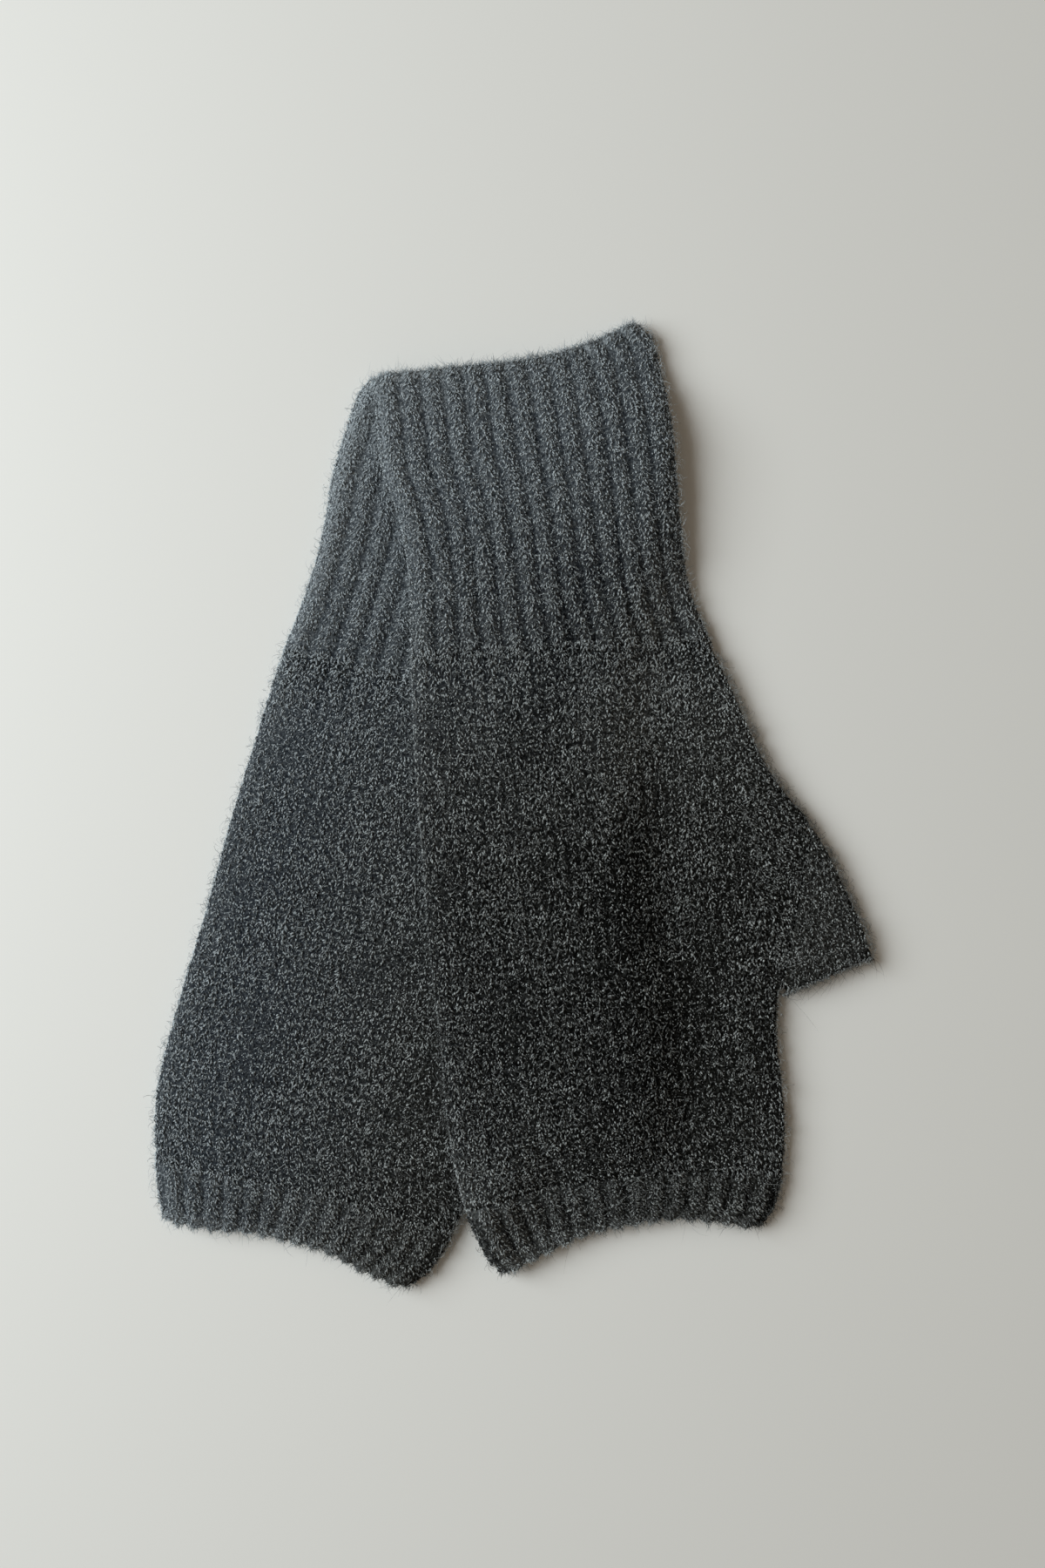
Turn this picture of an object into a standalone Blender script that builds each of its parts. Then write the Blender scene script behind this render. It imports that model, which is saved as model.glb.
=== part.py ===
"""A pair of knitted fingerless mittens laid flat, one mitten fanned out over the other.

Each mitten is four knitted tubes in a row: a ribbed cuff at the wrist, a plain hand with a
gusset, a short half thumb and a narrow ribbed band at the fingers. Every tube is pressed flat,
so that its two panels lie on each other. The upper mitten drapes off the lower one onto the
surface that both lie on. Lengths are in millimetres until a mesh is made, in metres.

A mitten's own frame has x across the hand and y from the fingers to the wrist, with the
wrist's left corner at the origin, so a section that is "along" the mitten has a negative y.
"""

import bmesh
import bpy
import numpy as np

MM = 0.001  # metres in a millimetre

# The cloth
WALL = 2.0  # thickness of the knitted wall
HOLLOW = 0.5  # between the two panels of a flattened tube
RIB_RAISE = 0.7  # how far a rib stands over the furrow beside it
RIB_FADE = 0.25  # what is left of that where a rib runs out into the plain knit
SCALLOP = 0.8  # how far a rib reaches past the furrow at the fingers' edge
LIP = 0.5  # rounding of a free edge
CUFF_RIBS = 13  # ribs on one side of the cuff
BAND_RIBS = 14  # ribs on one side of the finger band
CUFF_MARGIN = 0.0175  # from a side fold to the crest of the rib next to it, over the width
BAND_MARGIN = 0.0357
THICK = 2 * WALL + HOLLOW  # of a flattened tube
FOLD = THICK / 2  # radius of its side folds

# The lay of the pair on the surface
UPPER_PLACE = (-37.2, 113.4)  # the wrist's left corner
UPPER_TURN = 7.4  # degrees, anticlockwise seen from above
LOWER_PLACE = (-40.5, 111.6)
LOWER_TURN = -14.0
CLEAR = 0.35  # between the two mittens where one lies on the other
BRIDGE = 3.0  # the upper mitten stays up this far past the lower one's edge
SLOPE = 18.0  # and then comes down to the surface over this width

# Sections across a mitten, from the wrist to the fingers. "along" is the middle of the line
# between a section's two ends, "left" and "right" are those ends, "tilt" is how much further
# along the right end is, and "bend" is the section's share of the bow of the nearer edge.
COLUMNS = ("along", "left", "right", "tilt", "bend")
UPPER = {
    "wrist_rib": (
        (-2.1, 1.7, 71.6, -6.6, 1.0),
        (0.4, 0.3, 74.6, -6.2, 0.95),
        (3.4, 0.0, 75.6, -5.8, 0.9),
        (11.0, -0.2, 76.4, -4.8, 0.75),
        (24.0, -0.4, 76.8, -2.8, 0.5),
        (37.0, 2.0, 76.0, -0.2, 0.25),
        (50.0, 2.9, 75.2, 2.0, 0.1),
        (63.0, 2.3, 75.6, 4.0, 0.0),
        (77.8, 0.5, 79.4, 5.7, 0.0),
    ),
    "hand": (
        (78.1, 0.5, 79.5, 5.7, 0.0),
        (91.0, -1.2, 83.6, 4.6, 0.0),
        (104.0, -2.4, 87.3, 3.4, 0.0),
        (114.0, -2.9, 90.3, 2.4, 0.0),
        (123.5, -3.4, 95.0, 1.6, 0.0),
        (132.3, -3.9, 99.8, 1.0, 0.0),
        (135.0, -4.1, 98.9, 0.8, 0.0),
        (144.0, -4.6, 96.0, 0.4, 0.0),
        (154.0, -4.9, 92.7, 0.0, 0.0),
        (164.0, -5.1, 89.4, 0.0, 0.0),
        (172.0, -5.0, 86.7, 0.0, 0.0),
        (175.2, -5.0, 85.8, 0.0, 0.0),
        (187.0, -5.8, 83.9, 0.0, 0.0),
        (199.0, -6.0, 83.5, 0.6, 0.1),
        (210.0, -5.6, 82.9, 1.4, 0.2),
        (221.5, -4.3, 80.6, 2.4, 0.4),
    ),
    "finger_rib": (
        (221.8, -4.3, 80.5, 2.4, 0.4),
        (229.0, -2.0, 78.3, 0.2, 0.7),
        (235.8, 0.8, 75.8, -2.2, 0.95),
        (238.1, 3.0, 73.2, -2.7, 1.0),
    ),
}
LOWER = {
    "wrist_rib": (
        (-3.4, 2.2, 71.8, -2.4, 1.0),
        (-0.9, 0.5, 75.0, -2.6, 0.95),
        (2.6, -0.4, 76.2, -2.8, 0.9),
        (10.0, -1.0, 77.0, -3.0, 0.75),
        (23.0, -1.6, 77.8, -2.0, 0.5),
        (36.0, -0.7, 77.2, -1.0, 0.25),
        (48.0, -0.6, 76.6, 0.0, 0.1),
        (60.0, -1.4, 76.8, 0.0, 0.0),
        (73.0, -3.1, 78.6, 0.0, 0.0),
    ),
    "hand": (
        (73.3, -3.1, 78.7, 0.0, 0.0),
        (86.0, -4.4, 82.2, 0.0, 0.0),
        (99.0, -5.1, 86.6, 0.0, 0.0),
        (111.0, -5.8, 90.0, 0.0, 0.0),
        (122.0, -6.3, 94.6, 0.0, 0.0),
        (132.8, -6.6, 99.8, 0.0, 0.0),
        (135.4, -6.7, 98.9, 0.0, 0.0),
        (146.0, -6.9, 95.4, 0.0, 0.0),
        (157.0, -7.4, 91.7, 0.0, 0.0),
        (168.0, -7.9, 88.1, 0.0, 0.0),
        (175.2, -8.1, 85.8, 0.0, 0.0),
        (187.0, -8.3, 83.2, 0.0, 0.0),
        (199.0, -7.2, 80.8, 0.0, 0.2),
        (212.3, -3.7, 78.0, 0.0, 0.45),
    ),
    "finger_rib": (
        (212.6, -3.6, 77.9, 0.0, 0.45),
        (219.5, -1.2, 75.8, 0.8, 0.7),
        (225.8, 1.0, 72.0, 2.0, 0.95),
        (227.9, 2.4, 69.4, 2.3, 1.0),
    ),
}
# How far an edge bows along the mitten, at sixths of its width
WRIST_BOW = (1.5, 2.4, 3.5, 3.4, 2.3)
UPPER_FINGER_BOW = (-3.0, -5.5, -5.8, -5.6, -3.2)
LOWER_FINGER_BOW = (-0.9, -2.9, -3.5, -3.6, -1.4)
# The rows of a hand between which its right fold is open, for the thumb
UPPER_THUMB_ROWS = (5, 11)
LOWER_THUMB_ROWS = (5, 10)

# Sections across the thumb, which turn about the crotch from the hand's opening to the
# thumb's free edge: the ends on the crotch's side and on the outer side.
THUMB_COLUMNS = ("inner_across", "inner_along", "outer_across", "outer_along", "bend")
THUMB = (
    (86.5, 174.4, 100.2, 133.0, 0.0),
    (86.6, 174.7, 103.1, 139.2, 0.0),
    (86.8, 175.0, 106.1, 148.0, 0.2),
    (87.0, 175.3, 108.8, 156.6, 0.4),
    (87.2, 175.5, 110.8, 164.6, 0.7),
    (87.5, 175.8, 111.9, 171.4, 1.0),
)
THUMB_BOW = (0.3, 0.5, 0.5, 0.3, 0.1)

RIB_STEPS = 4  # segments across a rib
UPPER_HAND_SEGMENTS = 22  # segments across one side of a plain tube
LOWER_HAND_SEGMENTS = 14
THUMB_SEGMENTS = 10
FOLD_STEPS = (-90, -45, 0, 45, 90)  # degrees round the right fold, from the underside up
FOLD_CREST = {-90: 0.0, -45: 0.3, 0: 0.7, 45: 0.4}  # the ribs on a side fold
SHARP = 50  # degrees between two faces from which their edge isn't smoothed

# Colour, roughness and metallic value of each knit
WOOL = {
    "wrist_rib": ((0.060, 0.065, 0.068, 1.0), 0.95, 0.0),
    "hand": ((0.052, 0.056, 0.059, 1.0), 0.95, 0.0),
    "thumb": ((0.050, 0.054, 0.057, 1.0), 0.95, 0.0),
    "finger_rib": ((0.056, 0.060, 0.063, 1.0), 0.95, 0.0),
}


def direction(start, end):
    """The unit vector from one point to another."""
    return (end - start) / np.linalg.norm(end - start)


def section_of(row, bow):
    """A table's row as the ends of the section and its bow, in the mitten's frame."""
    row = dict(zip(COLUMNS, row))
    return {
        "left": np.array([row["left"], row["tilt"] / 2 - row["along"]]),
        "right": np.array([row["right"], -row["tilt"] / 2 - row["along"]]),
        "bow": row["bend"] * np.array(bow),
    }


def thumb_section_of(row):
    """The same for a row of the thumb, whose left end is at the crotch."""
    row = dict(zip(THUMB_COLUMNS, row))
    return {
        "left": np.array([row["inner_across"], -row["inner_along"]]),
        "right": np.array([row["outer_across"], -row["outer_along"]]),
        "bow": row["bend"] * np.array(THUMB_BOW),
    }


def with_halves(sections):
    """The sections, with one more between each two of them, on a smooth curve through them."""
    found = []
    for k in range(len(sections) - 1):
        before, after = sections[max(k - 1, 0)], sections[min(k + 2, len(sections) - 1)]
        a, b = sections[k], sections[k + 1]
        half = {key: (9 * (a[key] + b[key]) - before[key] - after[key]) / 16 for key in a}
        found += [a, half]
    return found + [sections[-1]]


def bowed(share, bow):
    """How far a section lies from the straight line between its ends, at shares across it."""
    values = np.array([0.0, *bow, 0.0])
    slopes = np.gradient(values)
    at = np.asarray(share) * (len(values) - 1)
    k = np.clip(at.astype(int), 0, len(values) - 2)
    t = at - k
    rise = values[k + 1] - values[k]
    start, end = slopes[k] - rise, rise - slopes[k + 1]
    return values[k] + t * rise + t * (1 - t) * ((1 - t) * start + t * end)


def plain(segments):
    """A plain tube's cells across one side: their edges, the steps in a cell, and the crests."""
    return np.linspace(0, 1, segments + 1), 1, lambda share: 0.0


def ribbed(ribs, margin):
    """The same for ribs from fold to fold, with a furrow between each two cells."""
    pitch = (1 - 2 * margin) / (ribs - 1)
    furrows = margin + (np.arange(ribs - 1) + 0.5) * pitch
    edges = np.concatenate([[0.0], furrows, [1.0]])
    return edges, RIB_STEPS, lambda share: 0.5 + 0.5 * np.cos(2 * np.pi * (share - margin) / pitch)


def stations(edges, steps, crest):
    """The points round a tube: (share across, angle, side, crest, on the inner loop too).

    They run along the underside, up the right fold, back over the top and down the left fold.
    The top has several steps to each cell, and the inner loop has one.
    """
    on_fold = {a: FOLD_CREST.get(a, crest(0.0)) if steps > 1 else 0.0 for a in FOLD_STEPS}
    found = [(share, -90, -1, 0.0, True) for share in edges[:-1]]
    found += [(1.0, a, 1, on_fold[a], a != 45 and a != -45) for a in FOLD_STEPS[:-1]]
    for start, end in zip(edges[:0:-1], edges[-2::-1]):
        for k in range(steps):
            share = start + (end - start) * k / steps
            found.append((share, 90, 1, crest(share), k == 0))
    for a in FOLD_STEPS[:0:-1]:
        found.append((0.0, a, -1, on_fold[a], a != 45 and a != -45))
    return found


def in_world(points, place, turn):
    """Points of a mitten's frame, in the frame of the pair."""
    c, s = np.cos(np.radians(turn)), np.sin(np.radians(turn))
    return np.asarray(points) @ np.array([[c, s], [-s, c]]) + place


def sections_of(tables, piece, finger_bow):
    """The sections of one of a mitten's pieces."""
    bow = WRIST_BOW if piece == "wrist_rib" else finger_bow
    return [section_of(row, bow) for row in tables[piece]]


def outline(tables, finger_bow):
    """The outlines of a mitten's hand and of its thumb, in the mitten's frame."""
    rows = [row for piece in tables for row in sections_of(tables, piece, finger_bow)]
    thumb = [thumb_section_of(row) for row in THUMB]
    hand = [row["left"] for row in rows] + [row["right"] for row in rows[::-1]]
    wedge = [thumb[0]["left"]] + [row["right"] for row in thumb] + [thumb[-1]["left"]]
    return np.array(hand), np.array(wedge)


def distance_outside(points, polygon):
    """How far each point lies outside a polygon, and 0 for a point inside it."""
    nearest = np.full(len(points), np.inf)
    inside = np.zeros(len(points), bool)
    for a, b in zip(polygon, np.roll(polygon, -1, axis=0)):
        d, rest = b - a, points - a
        share = np.clip(rest @ d / max(d @ d, 1e-9), 0, 1)
        nearest = np.minimum(nearest, np.linalg.norm(rest - share[:, None] * d, axis=1))
        crosses = (a[1] > points[:, 1]) != (b[1] > points[:, 1])
        with np.errstate(divide="ignore", invalid="ignore"):
            at = a[0] + (points[:, 1] - a[1]) * d[0] / d[1]
        inside ^= crosses & (points[:, 0] < at)
    return np.where(inside, 0.0, nearest)


def soft_step(share):
    """0 up to 0 and 1 from 1 on, with a smooth slope between."""
    share = np.clip(share, 0, 1)
    return share * share * (3 - 2 * share)


LOWER_OUTLINES = [
    in_world(shape, LOWER_PLACE, LOWER_TURN) for shape in outline(LOWER, LOWER_FINGER_BOW)
]


def lift(points):
    """How high the upper mitten's underside lies over the surface at points of the pair."""
    apart = np.min([distance_outside(points, shape) for shape in LOWER_OUTLINES], axis=0)
    return (THICK + RIB_RAISE + CLEAR) * (1 - soft_step((apart - BRIDGE) / SLOPE))


def no_lift(points):
    """The lower mitten lies on the surface itself."""
    return np.zeros(len(points))


class Mitten:
    """Where one mitten lies, how high, and the collection and parent of its pieces."""

    def __init__(self, name, place, turn, height, collection):
        self.name, self.place, self.turn, self.height = name, place, turn, height
        self.collection = collection
        self.parent = bpy.data.objects.new(f"{name}_mitten", None)
        self.parent.location = (place[0] * MM, place[1] * MM, 0)
        self.parent.rotation_euler = (0, 0, np.radians(turn))
        collection.objects.link(self.parent)

    def loop(self, section, around, radius, raised=0.0, scallop=0.0, right_inset=FOLD):
        """The points of one loop round a flattened tube, at this distance from its middle."""
        e = direction(section["left"], section["right"])
        n = np.array([e[1], -e[0]])  # along the mitten, towards the free edge
        left, right = section["left"] + e * FOLD, section["right"] - e * right_inset
        share, angle, side, crest = (np.array([p[k] for p in around], float) for k in range(4))
        bend = bowed(share, section["bow"]) + scallop * crest
        middle = left + share[:, None] * (right - left) + bend[:, None] * n
        out = radius + raised * crest
        angle = np.radians(angle)
        plan = middle + (out * np.cos(angle) * side)[:, None] * e
        height = self.height(in_world(middle, self.place, self.turn)) + THICK / 2
        return np.column_stack([plan, height + out * np.sin(angle)])


def tube(mitten, piece, sections, cells, ribs=None, open_rows=None, free_end=None):
    """A flattened knitted tube: an outer and an inner loop at each section, with open ends.

    cells says how one side is divided, and ribs the share of the rib's height at each section.
    Between open_rows the right fold is left out, so the tube is open there along its side.
    free_end names the section with a free edge, 0 or -1, which gets a rounded lip.
    """
    around = stations(*cells)
    inner_at = [k for k, station in enumerate(around) if station[4]]
    ribs = ribs or [0.0] * len(sections)
    rows = list(zip(sections, ribs, range(len(sections))))
    outer, inner, opened = [], [], []
    for section, share, k in rows:
        slot = open_rows is not None and open_rows[0] < k < open_rows[1]
        inset = 0.0 if slot else FOLD
        edge = free_end is not None and k == free_end % len(sections)
        scallop = SCALLOP if edge and free_end == -1 and share else 0.0
        raised = share * RIB_RAISE
        full = mitten.loop(section, around, FOLD, raised, scallop, inset)
        small = [around[j] for j in inner_at]
        hollow = mitten.loop(section, small, HOLLOW / 2, 0.0, scallop, inset)
        if edge:
            e = direction(section["left"], section["right"])
            back = np.array([e[1], -e[0], 0.0]) * (LIP if free_end == 0 else -LIP)
            lip = mitten.loop(section, around, FOLD - LIP, raised, scallop, inset)
            pair = [(lip, hollow), (full + back, hollow + back)]
            pair = pair if free_end == 0 else pair[::-1]
        else:
            pair = [(full, hollow)]
        for one, two in pair:
            outer.append(one)
            inner.append(two)
            opened.append(slot)

    first_fold = len(cells[0]) - 1
    last_fold = first_fold + len(FOLD_STEPS) - 1
    fold = range(inner_at.index(first_fold), inner_at.index(last_fold))

    mesh = bmesh.new()
    outer = [[mesh.verts.new(p * MM) for p in ring] for ring in outer]
    inner = [[mesh.verts.new(p * MM) for p in ring] for ring in inner]
    count, wide = len(inner_at), len(around)

    def cap(row, cell):
        """The end of the wall over one cell of the inner loop."""
        start, end = inner_at[cell], inner_at[(cell + 1) % count]
        end += wide if end <= start else 0
        rim = [outer[row][k % wide] for k in range(start, end + 1)]
        mesh.faces.new(rim + [inner[row][(cell + 1) % count], inner[row][cell]])

    for row in range(len(outer) - 1):
        gap = opened[row] or opened[row + 1]
        for k in range(wide):
            if not (gap and first_fold <= k < last_fold):
                j = (k + 1) % wide
                mesh.faces.new([outer[row][k], outer[row][j], outer[row + 1][j], outer[row + 1][k]])
        for k in range(count):
            if not (gap and k in fold):
                j = (k + 1) % count
                mesh.faces.new([inner[row][j], inner[row][k], inner[row + 1][k], inner[row + 1][j]])
        if gap:
            for k, cell in ((first_fold, fold[0]), (last_fold, fold[-1] + 1)):
                lip = [outer[row][k], outer[row + 1][k], inner[row + 1][cell], inner[row][cell]]
                mesh.faces.new(lip)
            for end, beyond in ((row, row - 1), (row + 1, row + 2)):
                if not opened[end]:
                    for cell in fold:
                        cap(end, cell)
    for row in (0, len(outer) - 1):
        for cell in range(count):
            cap(row, cell)
    bmesh.ops.delete(mesh, geom=[v for v in mesh.verts if not v.link_faces], context="VERTS")
    bmesh.ops.recalc_face_normals(mesh, faces=mesh.faces)
    data = bpy.data.meshes.new(f"{mitten.name}_{piece}")
    mesh.to_mesh(data)
    mesh.free()
    data.materials.append(wool(piece))
    data.shade_smooth()
    data.set_sharp_from_angle(angle=np.radians(SHARP))
    made = bpy.data.objects.new(f"{mitten.name}_{piece}", data)
    made.parent = mitten.parent
    mitten.collection.objects.link(made)
    return made


def wool(piece):
    """The wool of one piece of both mittens."""
    name = f"charcoal_wool_{piece}"
    found = bpy.data.materials.get(name)
    if found:
        return found
    colour, roughness, metallic = WOOL[piece]
    made = bpy.data.materials.new(name)
    made.use_nodes = True
    shader = made.node_tree.nodes["Principled BSDF"]
    shader.inputs["Base Color"].default_value = colour
    shader.inputs["Roughness"].default_value = roughness
    shader.inputs["Metallic"].default_value = metallic
    made.diffuse_color = colour
    return made


def knit(mitten, tables, finger_bow, hand_segments, thumb_rows):
    """The four pieces of one mitten."""
    cuff = with_halves(sections_of(tables, "wrist_rib", finger_bow))
    hand = sections_of(tables, "hand", finger_bow)
    band = sections_of(tables, "finger_rib", finger_bow)
    thumb = [thumb_section_of(row) for row in THUMB]
    cuff_ribs = [1.0] * (len(cuff) - 1) + [RIB_FADE]
    band_ribs = [RIB_FADE] + [1.0] * (len(band) - 1)
    cuff_cells, band_cells = ribbed(CUFF_RIBS, CUFF_MARGIN), ribbed(BAND_RIBS, BAND_MARGIN)
    tube(mitten, "wrist_rib", cuff, cuff_cells, ribs=cuff_ribs, free_end=0)
    tube(mitten, "hand", hand, plain(hand_segments), open_rows=thumb_rows)
    tube(mitten, "thumb", thumb, plain(THUMB_SEGMENTS), free_end=-1)
    tube(mitten, "finger_rib", band, band_cells, ribs=band_ribs, free_end=-1)


def main():
    for leftover in list(bpy.data.objects):
        bpy.data.objects.remove(leftover)
    collection = bpy.data.collections.new("fingerless_mittens")
    bpy.context.scene.collection.children.link(collection)
    lower = Mitten("lower", LOWER_PLACE, LOWER_TURN, no_lift, collection)
    upper = Mitten("upper", UPPER_PLACE, UPPER_TURN, lift, collection)
    knit(lower, LOWER, LOWER_FINGER_BOW, LOWER_HAND_SEGMENTS, LOWER_THUMB_ROWS)
    knit(upper, UPPER, UPPER_FINGER_BOW, UPPER_HAND_SEGMENTS, UPPER_THUMB_ROWS)


main()
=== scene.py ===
"""The looks of a pair of knitted fingerless mittens laid flat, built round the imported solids.

Each mitten is made as it is knitted. A thin shell stands for each of its four tubes, the wool's
stitches lie on it as strands of yarn, and a fuzz of loose fibres stands out of them. Lengths are
in millimetres until a mesh is made, in metres.

A mitten's own frame has x across the hand and y from the fingers to the wrist, with the
wrist's left corner at the origin, so a section that is "along" the mitten has a negative y.
"""

from functools import partial

import bpy
import numpy as np
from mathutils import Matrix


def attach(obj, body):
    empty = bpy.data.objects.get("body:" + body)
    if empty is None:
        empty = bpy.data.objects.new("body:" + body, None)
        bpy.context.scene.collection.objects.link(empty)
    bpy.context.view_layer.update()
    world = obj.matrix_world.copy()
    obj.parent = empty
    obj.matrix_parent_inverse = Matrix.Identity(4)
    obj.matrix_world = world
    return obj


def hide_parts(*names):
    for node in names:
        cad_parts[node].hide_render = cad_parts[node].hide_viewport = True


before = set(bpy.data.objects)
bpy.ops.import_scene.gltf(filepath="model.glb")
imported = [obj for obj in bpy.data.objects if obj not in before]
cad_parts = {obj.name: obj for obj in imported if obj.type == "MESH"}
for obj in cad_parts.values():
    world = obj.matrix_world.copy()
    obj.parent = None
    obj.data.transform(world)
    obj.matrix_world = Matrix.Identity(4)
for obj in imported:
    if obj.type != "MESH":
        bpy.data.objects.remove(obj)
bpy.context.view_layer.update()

MM = 0.001  # metres in a millimetre

# The cloth
WALL = 2.0  # thickness of the knitted wall
HOLLOW = 0.5  # between the two panels of a flattened tube
THICK = 2 * WALL + HOLLOW  # of a flattened tube
FOLD = THICK / 2  # radius of its side folds
RIB_RAISE = 0.7  # how far a rib stands over the furrow beside it
FOLD_RIB = 0.7  # how high the rib round a side fold is, over the others
SCALLOP = 0.8  # how far a rib reaches past the furrow at the fingers' edge
SCALLOP_LONG = 3.0  # over this length
LIP = 0.5  # rounding of a free edge
CUFF_RIBS = 13  # ribs on one side of the cuff
BAND_RIBS = 14  # ribs on one side of the finger band
CUFF_MARGIN = 0.0175  # from a side fold to the crest of the rib next to it, over the width
BAND_MARGIN = 0.0357

# The lay of the pair on the surface
PLACE = {"upper": (-37.2, 113.4), "lower": (-40.5, 111.6)}  # the wrist's left corner
TURN = {"upper": 7.4, "lower": -14.0}  # degrees, anticlockwise seen from above
CLEAR = 0.35  # between the two mittens where one lies on the other
BRIDGE = 3.0  # the upper mitten stays up this far past the lower one's edge
SLOPE = 18.0  # and then comes down to the surface over this width

# Sections across a mitten, from the wrist to the fingers. The columns are how far along the
# middle between a section's two ends is, how far across its left and its right end are, how
# much further along the right end is, and its share of the bow of the nearer edge.
SECTIONS = {"upper": (
    (-2.1, 1.7, 70.9, -6.6, 1.0),
    (0.4, 0.3, 73.8, -6.2, 0.95),
    (3.4, 0.0, 74.8, -5.8, 0.9),
    (11.0, -0.2, 75.6, -4.8, 0.75),
    (24.0, -0.4, 76.1, -2.8, 0.5),
    (37.0, 2.0, 75.5, -0.2, 0.25),
    (50.0, 2.9, 75.2, 2.0, 0.1),
    (63.0, 2.3, 75.6, 4.0, 0.0),
    (78.0, 0.5, 79.5, 5.7, 0.0),
    (91.0, -1.2, 83.6, 4.6, 0.0),
    (104.0, -2.4, 87.3, 3.4, 0.0),
    (114.0, -2.9, 90.3, 2.4, 0.0),
    (123.5, -3.4, 95.0, 1.6, 0.0),
    (132.3, -3.9, 99.8, 1.0, 0.0),
    (135.0, -4.1, 98.9, 0.8, 0.0),
    (144.0, -4.6, 96.0, 0.4, 0.0),
    (154.0, -4.9, 92.7, 0.0, 0.0),
    (164.0, -5.1, 89.4, 0.0, 0.0),
    (172.0, -5.0, 86.7, 0.0, 0.0),
    (175.2, -5.0, 85.8, 0.0, 0.0),
    (187.0, -5.8, 83.9, 0.0, 0.0),
    (199.0, -6.0, 83.5, 0.6, 0.1),
    (210.0, -5.6, 82.9, 1.4, 0.2),
    (221.6, -4.3, 80.5, 2.4, 0.4),
    (228.8, -2.0, 78.2, -0.3, 0.7),
    (235.2, 0.8, 75.4, -3.2, 0.95),
    (237.5, 3.0, 72.8, -3.7, 1.0),
), "lower": (
    (-3.4, 2.2, 71.8, -2.4, 1.0),
    (-0.9, 0.5, 75.0, -2.6, 0.95),
    (2.6, -0.4, 76.2, -2.8, 0.9),
    (10.0, -1.0, 77.0, -3.0, 0.75),
    (23.0, -1.6, 77.8, -2.0, 0.5),
    (36.0, -0.7, 77.2, -1.0, 0.25),
    (48.0, -0.6, 76.6, 0.0, 0.1),
    (60.0, -1.4, 76.8, 0.0, 0.0),
    (73.1, -3.1, 78.6, 0.0, 0.0),
    (86.0, -4.4, 82.2, 0.0, 0.0),
    (99.0, -5.1, 86.6, 0.0, 0.0),
    (111.0, -5.8, 90.0, 0.0, 0.0),
    (122.0, -6.3, 94.6, 0.0, 0.0),
    (132.8, -6.6, 99.8, 0.0, 0.0),
    (135.4, -6.7, 98.9, 0.0, 0.0),
    (146.0, -6.9, 95.4, 0.0, 0.0),
    (157.0, -7.4, 91.7, 0.0, 0.0),
    (168.0, -7.9, 88.1, 0.0, 0.0),
    (175.2, -8.1, 85.8, 0.0, 0.0),
    (187.0, -8.3, 83.2, 0.0, 0.0),
    (199.0, -7.2, 80.8, 0.0, 0.2),
    (212.4, -3.7, 78.0, 0.0, 0.45),
    (219.5, -1.2, 75.8, 0.8, 0.7),
    (225.8, 1.0, 72.0, 2.0, 0.95),
    (227.9, 2.4, 69.4, 2.3, 1.0),
)}
# Where the cuff ends and the finger band begins, and where the right fold is open for the thumb
SEAMS = {"upper": (78.0, 221.6), "lower": (73.1, 212.4)}
SLOT = {"upper": (132.3, 175.2), "lower": (132.8, 175.2)}
HALF_WAY = 150.0  # along the mitten, between its two edges
# How far an edge bows along the mitten, at sixths of its width
WRIST_BOW = (1.5, 2.4, 3.5, 3.4, 2.3)
FINGER_BOW = {"upper": (-3.6, -6.3, -6.7, -6.4, -3.8), "lower": (-0.9, -2.9, -3.5, -3.6, -1.4)}

# Sections across the thumb, which turn about the crotch from the hand's opening to the
# thumb's free edge: across and along of the end at the crotch, across and along of the outer
# end, and the share of the bow.
THUMB = (
    (86.5, 174.4, 100.2, 133.0, 0.0),
    (86.6, 174.7, 103.1, 139.2, 0.0),
    (86.8, 175.0, 106.1, 148.0, 0.2),
    (87.0, 175.3, 108.8, 156.6, 0.4),
    (87.2, 175.2, 110.7, 163.6, 0.7),
    (87.3, 175.3, 111.6, 169.6, 1.0),
)
THUMB_BOW = (0.3, 0.5, 0.5, 0.3, 0.1)
SEAM = 0.15  # half of the gap between two pieces

PIECES = ("wrist_rib", "hand", "thumb", "finger_rib")
STEPS = {"wrist_rib": 78, "hand": 36, "thumb": 24, "finger_rib": 84}  # of a shell, across a panel
FOLD_STEPS = 8  # and round a side fold

# The knit
WALE = 3.03  # width of a stitch
ROW = 1.93  # height of a stitch
SINK = 0.45  # how far the shell lies under the tops of the stitches
RIM = 0.45  # how far from a free edge the stitches begin to turn round it
OVER_RIM = 1.3  # and how far past it they go on
RIB_ROUND = 0.6  # under 1, the crests are wide and the furrows narrow
UNEVEN = 0.11  # how much the cloth swells and sinks
# The cuff's ribs begin to fade this far before its end, and run out this far into the hand
RIB_FADE = 9.0
RIB_RUNOUT = {"upper": 12.0, "lower": 22.0}
BAND_FADE = (2.0, 5.0)  # those of the band begin this far before it, and rise over this length
GUSSET_TILT = 0.115  # how far the gusset's rows lean from square to its outer edge
THUMB_TILT = -0.085  # and those at the thumb's free edge
TILT_BLEND = 40.0  # from the one to the other, over this length
EDGE_PAST = 4.0  # how far past the thumb's free edge its outline is drawn on
AHEAD = 0.5  # a step along that outline, which gives its direction

# The photo's camera looks straight down
CAMERA_AT = (2.13, 5.76, 420.0)
VIEW_TALL = 419.0  # what the frame's long side shows at the surface
SENSOR = 36.0

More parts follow.
